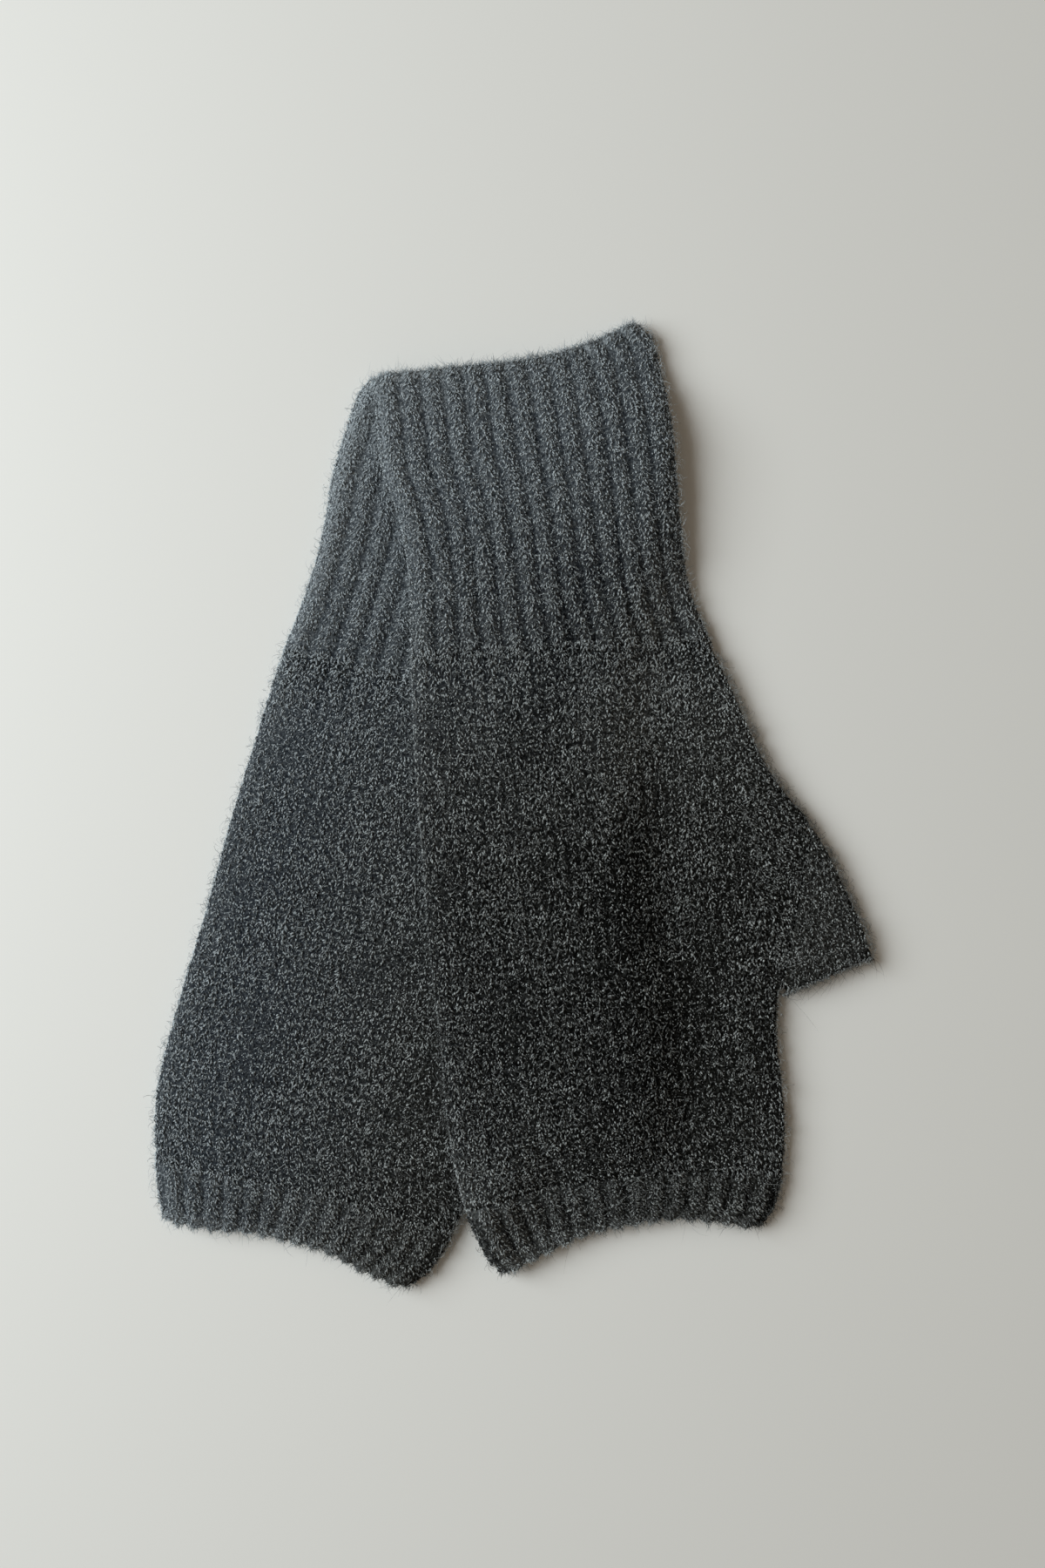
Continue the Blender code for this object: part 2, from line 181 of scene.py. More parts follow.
# A wide soft lamp on the left, and a warm room that fills the shadows; these are in metres
LAMP_AT = (-0.95, 0.18, 0.72)
LAMP_SIZE = (0.8, 0.9)
LAMP_POWER = 18.0
LAMP_COLOUR = (0.92, 0.98, 1.0)
ROOM_COLOUR = (1.0, 0.84, 0.66, 1.0)
ROOM_STRENGTH = 0.195
FLOOR_SIZE = 6.0
FLOOR_UNDER = 0.0001  # how far the floor lies under the mittens
FLOOR_COLOUR = (0.78, 0.78, 0.76, 1.0)


# ---- curves and fields


def spot(across, along):
    """Points of a mitten's frame, from how far across and how far along they are."""
    return np.stack([across, -along], -1)


def section_ends(along, left, right, tilt, bend):
    """The two ends of sections, and their share of the bow."""
    return spot(left, along - tilt / 2), spot(right, along + tilt / 2), bend


def unit(v):
    """Vectors made one long."""
    return v / np.maximum(np.linalg.norm(v, axis=-1, keepdims=True), 1e-9)


def square_to(e):
    """Directions in the plane, turned clockwise by a quarter."""
    return np.stack([e[..., 1], -e[..., 0]], -1)


def smooth(at, xs, ys):
    """A smooth curve through points, read at places along it."""
    xs, ys = np.asarray(xs, float), np.asarray(ys, float)
    slopes = np.gradient(ys, xs)
    k = np.clip(np.searchsorted(xs, at, side="right") - 1, 0, len(xs) - 2)
    wide, rise = xs[k + 1] - xs[k], ys[k + 1] - ys[k]
    t = (at - xs[k]) / wide
    start, end = slopes[k] * wide - rise, rise - slopes[k + 1] * wide
    return ys[k] + t * rise + t * (1 - t) * ((1 - t) * start + t * end)


def bowed(share, bow):
    """How far an edge's bow takes it along, at shares of its width."""
    return smooth(share * (len(bow) + 1), range(len(bow) + 2), (0.0, *bow, 0.0))


def soft_step(share):
    """0 up to 0 and 1 from 1 on, with a smooth slope between."""
    share = np.clip(share, 0, 1)
    return share * share * (3 - 2 * share)


def hump(at, start, rise, end, fall):
    """1 between a start and an end, after a soft rise and before a soft fall inside them."""
    return soft_step((at - start) / rise) * soft_step((end - at) / fall)


def in_world(points, turn, place=(0, 0)):
    """Points or directions of a mitten's frame, in the frame of the pair."""
    c, s = np.cos(np.radians(turn)), np.sin(np.radians(turn))
    return np.asarray(points) @ np.array([[c, s], [-s, c]]) + place


def outlines(name):
    """The outlines of a mitten's hand and of its thumb, in the frame of the pair."""
    left, right, _ = section_ends(*np.array(SECTIONS[name]).T)
    thumb = np.vstack([THUMB_INNER[:1], THUMB_OUTER, THUMB_INNER[-1:]])
    hand = np.vstack([left, right[::-1]])
    return [in_world(shape, TURN[name], PLACE[name]) for shape in (hand, thumb)]


THUMB_INNER, THUMB_OUTER = (spot(*np.array(THUMB).T[k : k + 2]) for k in (0, 2))
OUTLINES = {name: outlines(name) for name in SECTIONS}


def depth(points, polygons):
    """How deep each point lies within one of several polygons, and under 0 outside them all."""
    flat = points.reshape(-1, 2)
    deepest = np.full(len(flat), -np.inf)
    for polygon in polygons:
        nearest = np.full(len(flat), np.inf)
        inside = np.zeros(len(flat), bool)
        for a, b in zip(polygon, np.roll(polygon, -1, axis=0)):
            d, rest = b - a, flat - a
            share = np.clip(rest @ d / max(d @ d, 1e-9), 0, 1)
            nearest = np.minimum(nearest, np.linalg.norm(rest - share[:, None] * d, axis=1))
            crosses = (a[1] > flat[:, 1]) != (b[1] > flat[:, 1])
            with np.errstate(divide="ignore", invalid="ignore"):
                at = a[0] + (flat[:, 1] - a[1]) * d[0] / d[1]
            inside ^= crosses & (flat[:, 0] < at)
        deepest = np.maximum(deepest, np.where(inside, nearest, -nearest))
    return deepest.reshape(points.shape[:-1])


def lift(points):
    """How high the upper mitten's underside lies over the surface at points of the pair."""
    apart = -depth(points, OUTLINES["lower"])
    return (THICK + RIB_RAISE + CLEAR) * (1 - soft_step((apart - BRIDGE) / SLOPE))


def no_lift(points):
    """The lower mitten lies on the surface itself."""
    return np.zeros(points.shape[:-1])


def uneven(points):
    """How much the top of the cloth swells and sinks at points of a mitten, in crossing waves."""
    x, y = points[..., 0], points[..., 1]
    swell = np.sin(x / 7.3 + 1.1 * np.sin(y / 19)) * np.sin(y / 11.7 + 1.7 * np.sin(x / 23))
    return UNEVEN * (swell + 0.6 * np.sin(x / 4.1 - y / 9.3 + 2 * np.sin(y / 31)))


def waver(along, x):
    """Rows and wales of stitches, bent a little, since no knit lies quite straight."""
    along = along + 0.25 * np.sin(x / 17 + along / 23) + 0.15 * np.sin(x / 5.1 + along / 9)
    return along, x + 0.30 * np.sin(along / 19 + x / 31) + 0.12 * np.sin(along / 6.3 + x / 3)


def rim(along, out, edge, way):
    """Places past a free edge, wrapped round the rim of the wall there."""
    past = np.maximum((edge - along) * way + RIM, 0)
    turn = np.minimum(past / (WALL / 2), np.pi)
    middle = (HOLLOW + WALL) / 2
    wrapped = edge + way * (RIM - RIM * np.sin(turn))
    round_it = middle + (out - middle) * np.cos(turn)
    return np.where(past > 0, wrapped, along), np.where(past > 0, round_it, out)


# ---- the mittens' form


class Mitten:
    """One mitten's form. A chart is a way to name the places on it, and gives points there."""

    def __init__(self, name, height):
        self.name, self.height = name, height
        self.place, self.turn = PLACE[name], TURN[name]
        self.seams, self.slot = SEAMS[name], SLOT[name]
        self.table = np.array(SECTIONS[name]).T
        along = self.table[0]
        self.first, self.last = along[0], along[-1]
        reach = (self.first, self.seams[0]), self.seams, None, (self.seams[1], self.last)
        self.reach = dict(zip(PIECES, reach))
        in_gusset = (along >= self.seams[0]) & (along <= self.slot[0])
        right = section_ends(*self.table)[1][in_gusset]
        self.edge = np.vstack([right, THUMB_OUTER[1:]])[::-1]  # from the thumb's free edge back
        steps = np.linalg.norm(np.diff(self.edge, axis=0), axis=1)
        self.edge_at = np.concatenate([[0], np.cumsum(steps)])
        self.crotch = THUMB_INNER[0]

    def ends(self, along):
        """The two ends of the sections at places along the mitten, and their share of the bow."""
        at, *table = self.table
        left, right, tilt, bend = (smooth(along, at, column) for column in table)
        in_slot = (along > self.slot[0]) & (along < self.slot[1])
        right = np.where(in_slot, np.interp(along, at, table[1]), right)
        return section_ends(along, left, right, tilt, bend)

    def flat_width(self, along):
        """The panel's width between its two folds."""
        left, right, _ = self.ends(np.clip(along, self.first, self.last))
        return np.linalg.norm(right - left, axis=-1) - 2 * FOLD

    def own(self, points):
        """Points of the pair, in the mitten's own frame."""
        return in_world(points[:, :2] - self.place, -self.turn)

    def past_line(self, own):
        """How far points of its frame lie right of the line from the cuff's end to the crotch."""
        (x0, y0), (x1, y1) = self.edge[-1], self.crotch
        return own[:, 0] - (x0 + (x1 - x0) * (own[:, 1] - y0) / (y1 - y0))

    def crest(self, along, share):
        """The form of the ribs across the mitten: 0 in a furrow and 1 on a crest."""
        cuff = along < (self.seams[0] + self.seams[1]) / 2
        margin = np.where(cuff, CUFF_MARGIN, BAND_MARGIN)
        pitch = (1 - 2 * margin) / (np.where(cuff, CUFF_RIBS, BAND_RIBS) - 1)
        return (0.5 + 0.5 * np.cos(2 * np.pi * (share - margin) / pitch)) ** RIB_ROUND

    def ribs(self, along, share, over):
        """How far the ribs stand out: 0 in a furrow and 1 on a crest, and less near a seam."""
        turned = np.clip(np.abs(over) / FOLD / np.pi, 0, 1)
        crest = self.crest(along, share) * (1 - soft_step(turned * 4))
        crest = crest + FOLD_RIB * np.sin(np.pi * turned) ** 4
        fade = RIB_FADE + RIB_RUNOUT[self.name]
        wrist = 1 - soft_step((along - self.seams[0] + RIB_FADE) / fade)
        fingers = soft_step((along - self.seams[1] + BAND_FADE[0]) / BAND_FADE[1])
        return crest * (wrist + fingers)

    def surface(self, middle, side, radius, phi):
        """Points at a radius round places in the tube's middle, and the directions out of it."""
        plan = middle + (radius * np.cos(phi))[..., None] * side
        up = self.height(in_world(middle, self.turn, self.place)) + THICK / 2
        high = (up + radius * np.sin(phi))[..., None]
        outward = in_world(np.cos(phi)[..., None] * side, self.turn)
        return (
            np.concatenate([in_world(plan, self.turn, self.place), high], -1),
            np.concatenate([outward, np.sin(phi)[..., None]], -1),
        )

    def lay(self, left, right, bend, x, out, under, inset=FOLD, along=None, ribbed=False):
        """Points round a flattened tube, and the directions out of it.

        x runs from the left fold's middle across the panel and on round the folds, out is the
        distance from the tube's middle, and under says which points are on the underside. Only
        a thumb's sections have no place along the mitten.
        """
        e = unit(right - left)
        n = square_to(e)
        flat = np.linalg.norm(right - left, axis=-1) - FOLD - inset
        across = np.clip(x, 0, flat)
        over = x - across
        share = across / flat
        bow = bowed(share, THUMB_BOW)
        if along is not None:
            finger = bowed(share, FINGER_BOW[self.name])
            bow = np.where(along < HALF_WAY, bowed(share, WRIST_BOW), finger)
        middle = left + (FOLD + across)[..., None] * e + (bend * bow)[..., None] * n
        raised = np.zeros_like(share)
        if ribbed:
            ribs = self.ribs(along, share, over)
            raised = np.where(under, 0.0, RIB_RAISE * ribs + uneven(middle))
            reach = soft_step((along - self.last + SCALLOP_LONG) / SCALLOP_LONG) * ribs
            middle = middle + (SCALLOP * reach * ~under)[..., None] * n
        phi = np.pi / 2 - np.minimum(np.abs(over) / FOLD, np.pi)
        side = np.sign(over)[..., None] * e
        return self.surface(middle, side, out + raised, np.where(under, -phi, phi))

    def main(self, along, x, out, under=False):
        """The chart of the cuff, the hand and the finger band."""
        along, out = rim(along, out, self.first, 1)
        along, out = rim(along, out, self.last, -1)
        left, right, bend = self.ends(along)
        under = np.broadcast_to(under, np.shape(x))
        return self.lay(left, right, bend, x, out, under, FOLD, along, True)

    def gusset(self, back, x, out, under=False):
        """The chart of the gusset and the thumb: back from the thumb's edge, and inwards."""
        tilt = np.interp(back, (0, TILT_BLEND), (THUMB_TILT, GUSSET_TILT))
        back, out = rim(back, out, 0.0, 1)
        at = np.clip(back + tilt * np.maximum(x, 0), -EDGE_PAST, self.edge_at[-1])
        point = np.stack([smooth(at, self.edge_at, c) for c in self.edge.T], -1)
        ahead = np.stack([smooth(at + AHEAD, self.edge_at, c) for c in self.edge.T], -1)
        m = square_to(unit(ahead - point))
        middle = point - (FOLD + np.maximum(x, 0))[..., None] * m
        phi = np.pi / 2 - np.abs(np.minimum(x, 0)) / FOLD
        return self.surface(middle, (x < 0)[..., None] * m, out, np.where(under, -phi, phi))


# ---- meshes


# Painted cool light of the window lamp: most on the cuffs, less on the hands, and more on the lower
# mitten than on the upper one: how cool at places along, and how much less for each millimetre
# across, about a place across
WINDOW_TINT_AT = (10.0, 60.0, 100.0, 130.0)
WINDOW_TINT = {"upper": (1.15, 0.68, 0.2, 0.05), "lower": (1.25, 1.0, 0.77, 0.74)}
WINDOW_TINT_ACROSS = {"upper": (0.0045, 35.0), "lower": (0.017, 22.0)}


def painted_window_tint(mitten, points):
    """The painted cool light of the window lamp at points of the pair: 1 in the cuffs, and less in
    the hands.
    """
    across, y = mitten.own(points).T
    less, middle = WINDOW_TINT_ACROSS[mitten.name]
    return np.interp(-y, WINDOW_TINT_AT, WINDOW_TINT[mitten.name]) - less * (across - middle)


def mesh_object(mitten, piece, points, faces, material, tones):
    """An object of one mesh of a mitten, from points in millimetres and arrays of faces."""
    name = f"{mitten.name}_{piece}"
    data = bpy.data.meshes.new(name)
    data.vertices.add(len(points))
    data.vertices.foreach_set("co", (points * MM).astype(np.float32).ravel())
    sizes = np.concatenate([np.full(len(f), f.shape[1]) for f in faces])
    data.loops.add(int(sizes.sum()))
    data.loops.foreach_set("vertex_index", np.concatenate([f.ravel() for f in faces]))
    data.polygons.add(len(sizes))
    data.polygons.foreach_set("loop_start", np.concatenate([[0], np.cumsum(sizes)[:-1]]))
    data.update(calc_edges=True)
    data.validate()
    data.shade_smooth()
    # cool holds the painted cool light of the window lamp
    # tone holds the wool's own tone with painted light and shade on it
    for attribute, values in (("tone", tones), ("cool", painted_window_tint(mitten, points))):
        layer = data.attributes.new(attribute, "FLOAT", "POINT")
        layer.data.foreach_set("value", np.asarray(values, np.float32))
    data.materials.append(material)
    made = bpy.data.objects.new(name, data)
    bpy.context.scene.collection.objects.link(made)
    return made


def strands(paths, ups, radii, sides=3):
    """Closed strands along paths, pointed at both ends, as points and triangles."""
    count, steps, _ = paths.shape
    t = unit(np.gradient(paths, axis=1))
    side = unit(np.cross(t, ups))
    over = np.cross(side, t)
    angle = 2 * np.pi * np.arange(sides) / sides + np.pi / 2
    ring = np.cos(angle)[:, None] * side[:, :, None] + np.sin(angle)[:, None] * over[:, :, None]
    rings = (paths[:, :, None] + radii[..., None, None] * ring)[:, 1:-1].reshape(count, -1, 3)
    points = np.concatenate([paths[:, :1], rings, paths[:, -1:]], 1)
    j = np.arange(sides)
    one, two = 1 + j, 1 + (j + 1) % sides
    tip, last = 1 + (steps - 2) * sides, (steps - 3) * sides
    faces = [np.stack([0 * j, one, two], -1), np.stack([0 * j + tip, two + last, one + last], -1)]
    for k in range(steps - 3):
        a, b = one + k * sides, two + k * sides
        faces += [np.stack([a, a + sides, b + sides], -1), np.stack([a, b + sides, b], -1)]
    faces = np.concatenate(faces)[None] + (np.arange(count) * points.shape[1])[:, None, None]
    return points.reshape(-1, 3), faces.reshape(-1, 3), points.shape[1]


def facing(quads, flip):
    """Quads, turned over where they have to face the other way."""
    return quads[..., ::-1] if flip else quads


def shell(mitten, piece, outer, inner, material, tones, opened):
    """A knitted wall between an outer and an inner loop at each section, with open ends.

    opened says which sections have no right fold.
    """
    outer, inner, opened = np.array(outer), np.array(inner), np.array(opened)
    fold = (STEPS[piece], STEPS[piece] + FOLD_STEPS)  # the steps of a loop that are its right fold
    rows, around, _ = outer.shape
    size = rows * around
    points = np.concatenate([outer.reshape(-1, 3), inner.reshape(-1, 3)])
    k, j = np.meshgrid(np.arange(rows - 1), np.arange(around), indexing="ij")
    one, two = k * around + j, k * around + (j + 1) % around
    wall = np.stack([one, two, two + around, one + around], -1)
    gap = opened[:-1] | opened[1:]
    closed = np.ones((rows - 1, around), bool)
    closed[np.ix_(gap, np.arange(*fold))] = False
    faces = [wall[closed], facing(wall, True)[closed] + size]

    def cap(row, run, flip):
        """Quads from the outer loop to the inner one, along a run of a section's steps."""
        a, b = row * around + run, row * around + (run + 1) % around
        faces.append(facing(np.stack([a, b, b + size, a + size], -1), flip))

    cap(0, np.arange(around), True)
    cap(rows - 1, np.arange(around), False)
    for row in np.flatnonzero(gap):
        for step, flip in zip(fold, (False, True)):
            a = row * around + step
            lip = np.array([[a, a + around, a + around + size, a + size]])
            faces.append(facing(lip, flip))
        for end, flip in ((row, False), (row + 1, True)):
            if not opened[end]:
                cap(end, np.arange(*fold), flip)
    used = np.zeros(len(points), bool)
    for f in faces:
        used[f] = True
    place = np.cumsum(used) - 1
    tones = np.concatenate([np.ravel(tones)] * 2)[used]
    faces = [place[f] for f in faces]
    return mesh_object(mitten, f"{piece}_knit", points[used], faces, material, tones)


# ---- materials


# The wool's colours over its tone, from its darkest fibres to its lightest
TONE_RANGE = 4.0  # the ramp runs from this far under the mean tone to this far over it
GREY_SHADES = (  # of the hands
    (0.0024, 0.0025, 0.0022),
    (0.0112, 0.0117, 0.0108),
    (0.0310, 0.0323, 0.0306),
    (0.0630, 0.0655, 0.0630),
    (0.1250, 0.1310, 0.1280),
    (0.2500, 0.2630, 0.2600),
    (0.4600, 0.4900, 0.4900),
)
# Painted light: the same shades, tinted by the cool light of the window lamp, which the cuffs get
# most
WINDOW_TINT_SHADES = (  # of the cuffs
    (0.0018, 0.0024, 0.0038),
    (0.0085, 0.0116, 0.0160),
    (0.0265, 0.0322, 0.0395),
    (0.0560, 0.0655, 0.0745),
    (0.1160, 0.1310, 0.1440),
    (0.2380, 0.2650, 0.2830),
    (0.4450, 0.4950, 0.5250),
)
HUE_MOTTLE = 1.2  # how much the fibres differ in hue


def wool(name, flecks, mottle, bright=0.0, sheen=0.0):
    """Heathered wool: light and dark fibres mixed, finely mottled, with a soft nap."""
    made = bpy.data.materials.new(name)
    made.use_nodes = True
    nodes, links = made.node_tree.nodes, made.node_tree.links
    shader = nodes["Principled BSDF"]
    shader.inputs["Roughness"].default_value = 0.85
    shader.inputs["Specular IOR Level"].default_value = 0.02
    shader.inputs["Sheen Weight"].default_value = sheen
    shader.inputs["Sheen Roughness"].default_value = 0.5
    shader.inputs["Sheen Tint"].default_value = (0.80, 0.86, 0.90, 1.0)

    def node(kind, feeds, **settings):
        """The outlets of a node that numbers and other nodes' outlets feed."""
        one = nodes.new(kind)
        for setting, value in settings.items():
            setattr(one, setting, value)
        for socket, value in feeds.items():
            if isinstance(value, float):
                one.inputs[socket].default_value = value
            else:
                links.new(value, one.inputs[socket])
        return one.outputs

    def math(operation, *values, clamp=False):
        """A sum of numbers and outlets."""
        feeds = dict(enumerate(values))
        return node("ShaderNodeMath", feeds, operation=operation, use_clamp=clamp)["Value"]

    place = node("ShaderNodeTexCoord", {})["Object"]
    fine = node("ShaderNodeTexNoise", {"Vector": place, "Scale": flecks, "Detail": 3.0})
    # the tone attribute carries painted light and shade besides the wool's own tone
    tone = node("ShaderNodeAttribute", {}, attribute_name="tone")["Fac"]
    cool = node("ShaderNodeAttribute", {}, attribute_name="cool")["Fac"]
    middle = 0.5 - mottle / 2 + bright * 0.5 / TONE_RANGE
    tone = math("MULTIPLY_ADD", tone, 0.5 / TONE_RANGE, middle)
    tone = math("MULTIPLY_ADD", fine["Fac"], mottle, tone)
    apart = node("ShaderNodeSeparateColor", {"Color": fine["Color"]})["Green"]
    # The grey shades mix with the window-tinted ones by the painted cool light, with a random mottle
    # of hue
    hue = math("MULTIPLY_ADD", apart, HUE_MOTTLE, cool)
    tint = {"Fac": math("SUBTRACT", hue, HUE_MOTTLE / 2, clamp=True)}
    for socket, shades in (("Color1", GREY_SHADES), ("Color2", WINDOW_TINT_SHADES)):
        ramp = nodes.new("ShaderNodeValToRGB")
        links.new(tone, ramp.inputs["Fac"])
        stops = ramp.color_ramp.elements
        while len(stops) < len(shades):
            stops.new(0.5)
        for k, colour in enumerate(shades):
            stops[k].position = k / (len(shades) - 1)
            stops[k].color = (*colour, 1.0)
        tint[socket] = ramp.outputs["Color"]
    links.new(node("ShaderNodeMixRGB", tint)["Color"], shader.inputs["Base Color"])
    bump = {"Strength": 0.6, "Distance": 0.0003, "Height": fine["Fac"]}
    links.new(node("ShaderNodeBump", bump)["Normal"], shader.inputs["Normal"])
    return made


# ---- how light the wool is, with painted light and shade


# Along a mitten: at the wrist, the cuff's end, in the hand and in the band. Over the wool's own
# level, the cuffs have a painted sheen and the hands painted shade, deepest on the upper mitten
TONE_AT = (0.0, 55.0, 75.0, 98.0, 135.0, 185.0, 212.0, 238.0)
TONES = {
    "upper": (4.4, 3.3, 2.9, 2.5, 1.45, 1.2, 1.6, 1.5),
    "lower": (4.3, 3.7, 3.4, 2.75, 2.4, 2.5, 2.5, 2.6),
}
# Painted light and shade across: lighter on the left, towards the lamp, and darker on the right
ACROSS = {"upper": (0.5, 0.3), "lower": (1.3, 1.9)}  # lighter on the left, in cuff and hand
# Painted light and shade in soft strips on the upper mitten, where it drapes off the edge of the
# lower one: how much lighter, the middle across at DRAPE_SHADE_STRIPS_FROM and how far it leans
# per millimetre along, half the width, and a hump along
DRAPE_SHADE_STRIPS = {
    "upper": (
        (-0.7, 46.0, 0.0, 15.0, (100.0, 40.0, 235.0, 25.0)),
        (0.8, 65.0, -0.25, 7.0, (50.0, 15.0, 135.0, 20.0)),
        (-0.8, 43.0, -0.29, 9.0, (45.0, 15.0, 120.0, 20.0)),
    ),
    "lower": (),
}
DRAPE_SHADE_STRIPS_FROM = 60.0
# Painted shade in the furrows between the ribs
FURROW_SHADE = -1.3  # the yarn deep between two ribs lies in the dark
FURROW_ALONG = (0.4, 1.15)  # less so at the wrist than from FURROW_FULL on
FURROW_FULL = 60.0
FURROW_ACROSS = (0.8, 1.15)  # and on the left than on the right
BAND_FURROW = {"upper": 1.0, "lower": 0.3}  # and how much of it in the finger bands
BAND_RISE = 6.0  # over this length of them
# Painted shade on the left fold, which faces the lamp
FOLD_SHADE = {"upper": -1.4, "lower": -0.1}  # the left fold, and over what share of the width
FOLD_SHARE = 0.03
# Painted light beside the left fold, on the side towards the lamp
LEFT_LIGHT = {"upper": 0.4, "lower": 0.6}  # beside the left fold, and over what share
LEFT_SHARE = 0.09
# Painted light on the upper finger band's left corner, against the shade of its slope off the lower
# mitten
CORNER_LIGHT = {"upper": 1.0, "lower": 0.0}  # the band's left corner: from where, and how wide
CORNER_AT = (195.0, 25.0)
CORNER_SHARE = 0.4
# Painted light on the rims of the free edges and of the thumb, which turn away from the lamp
RIM_LIGHT = 2.0  # the rims of the free edges
# Painted light: the gusset and the thumb, which lie flat, are kept at least so light, out of the
# hand's painted shade
THUMB_LIGHT = 1.5  # the gusset and the thumb are at least so light
THUMB_RIM_LIGHT = 0.5  # the rim of a thumb, which faces away from the lamp
# Painted light on the loose fibres of the right folds, in place of the light that shines through
# them
FAR_LIGHT = 2.6  # the loose fibres of the right folds, which the light shines through
THUMB_FAR_LIGHT = 1.0
# The shells, which show between the stitches, darkened with painted shade of the gaps there
SHELL_SHADE = {"wrist_rib": -3.9, "hand": -4.5, "thumb": -3.7, "finger_rib": -3.7}


def shade(mitten, along, share):
    """How light the wool is at places of a mitten: its own tone, with painted light and shade."""
    name = mitten.name
    tone = np.interp(along, TONE_AT, TONES[name])
    cuff = 1 - soft_step((along - mitten.seams[0]) / RIB_RUNOUT[name])
    band = soft_step((along - mitten.seams[1]) / BAND_RISE)
    in_cuff, in_hand = ACROSS[name]
    # painted light on the left side and painted shade on the right
    tone = tone + (in_hand + (in_cuff - in_hand) * cuff) * (0.5 - share)
    across = share * mitten.flat_width(along)
    for amount, middle, lean, half, reach in DRAPE_SHADE_STRIPS[name]:
        apart = across - middle - lean * (along - DRAPE_SHADE_STRIPS_FROM)
        tone = tone + amount * hump(along, *reach) * np.exp(-((apart / half) ** 2))
    tone = tone + FOLD_SHADE[name] * np.clip(-share / FOLD_SHARE, 0, 1)
    tone = tone + LEFT_LIGHT[name] * (1 - soft_step(share / LEFT_SHARE))
    corner = soft_step((along - CORNER_AT[0]) / CORNER_AT[1])
    tone = tone + CORNER_LIGHT[name] * corner * (1 - soft_step(share / CORNER_SHARE))
    past = np.maximum(mitten.first - along, along - mitten.last)
    # painted light on the rims
    tone = tone + RIM_LIGHT * soft_step((past + RIM) / RIM)
    # painted shade in the furrows
    deep = np.interp(along, (0, FURROW_FULL), FURROW_ALONG)
    deep = deep * np.interp(share, (0, 1), FURROW_ACROSS)
    furrow = (1 - mitten.crest(along, np.clip(share, 0, 1))) ** 3
    return tone + FURROW_SHADE * deep * furrow * (cuff + BAND_FURROW[name] * band)


def shade_at(mitten, along, x):
    """The same, at a distance across."""
    return shade(mitten, along, x / mitten.flat_width(along))


def thumb_shade(mitten, back, _=None):
    """The same on the gusset and the thumb, all the way across."""
    along = mitten.seams[0] + mitten.edge_at[-1] - back
    tone = np.interp(along, TONE_AT, TONES[mitten.name]) - ACROSS[mitten.name][1] / 2
    return np.maximum(tone, THUMB_LIGHT) + THUMB_RIM_LIGHT * soft_step((RIM - back) / RIM)


# ---- the shells


SECTION_STEP = 3.0  # between the sections of a shell
SECTION_NEAR = 0.3  # two that lie nearer than this are one
SLOT_CLEAR = 0.1  # the thumb's slot is open from this far inside its two ends
THUMB_SECTIONS = 14
THUMB_SHORT = 0.1  # the thumb's shell ends this share of a section before its stitches


def loop_places(count):
    """Where a loop's points lie: share across, turn round a fold from 0 to 1, side, under."""
    places = [(k / count, 0.0, 0, False) for k in range(count + 1)]
    places += [(1.0, k / FOLD_STEPS, 1, False) for k in range(1, FOLD_STEPS)]
    places += [(1 - k / count, 0.0, 0, True) for k in range(count + 1)]
    places += [(0.0, 1 - k / FOLD_STEPS, -1, False) for k in range(1, FOLD_STEPS)]
    share, turn, side, under = (np.array([p[k] for p in places]) for k in range(4))
    return share, turn, side, under.astype(bool)


def loop(mitten, section, places, out, inset=FOLD, along=None, ribbed=False, push=0.0):
    """The points of one loop round a mitten's section, pushed along the mitten."""
    left, right, bend = section
    share, turn, side, under = places
    wide = np.linalg.norm(right - left) - FOLD - inset
    x = share * wide + side * turn * np.pi * FOLD
    points, _ = mitten.lay(left, right, bend, x, out, under, inset, along, ribbed)
    n = in_world(square_to(unit(right - left)), mitten.turn)
    return points + np.array([*n, 0.0]) * push


def tube_shell(mitten, piece, material):
    """The shell of a cuff, a hand or a finger band."""
    start, end = mitten.reach[piece]
    free = start == mitten.first, end == mitten.last
    start, end = start + SEAM * (not free[0]), end - SEAM * (not free[1])
    sections = np.linspace(start, end, max(3, round((end - start) / SECTION_STEP)) + 1)
    in_slot = np.zeros(len(sections), bool)
    if piece == "hand":
        sections = np.sort(np.concatenate([sections, mitten.slot]))
        sections = sections[np.concatenate([[True], np.diff(sections) > SECTION_NEAR])]
        in_slot = sections > mitten.slot[0] + SLOT_CLEAR
        in_slot &= sections < mitten.slot[1] - SLOT_CLEAR
    places = loop_places(STEPS[piece])
    outer, inner, opened, tones = [], [], [], []
    for k, along in enumerate(sections):
        section, inset = mitten.ends(along), FOLD * (not in_slot[k])
        at = partial(loop, mitten, section, places, inset=inset, along=along, ribbed=piece != "hand")
        pair = [(at(FOLD - SINK), at(HOLLOW / 2))]
        if (k == 0 and free[0]) or (k == len(sections) - 1 and free[1]):
            sign = 1 if k == 0 else -1
            lip = at(FOLD - SINK, push=sign * LIP), at(HOLLOW / 2, push=sign * LIP)
            pair = [(at(FOLD - SINK - LIP), at(HOLLOW / 2)), lip][::sign]
        for one, two in pair:
            outer.append(one)
            inner.append(two)
            opened.append(in_slot[k])
            # the shell's tone, darkened with painted shade
            tones.append(shade(mitten, along, places[0]) + SHELL_SHADE[piece])
    return shell(mitten, piece, outer, inner, material, tones, opened)


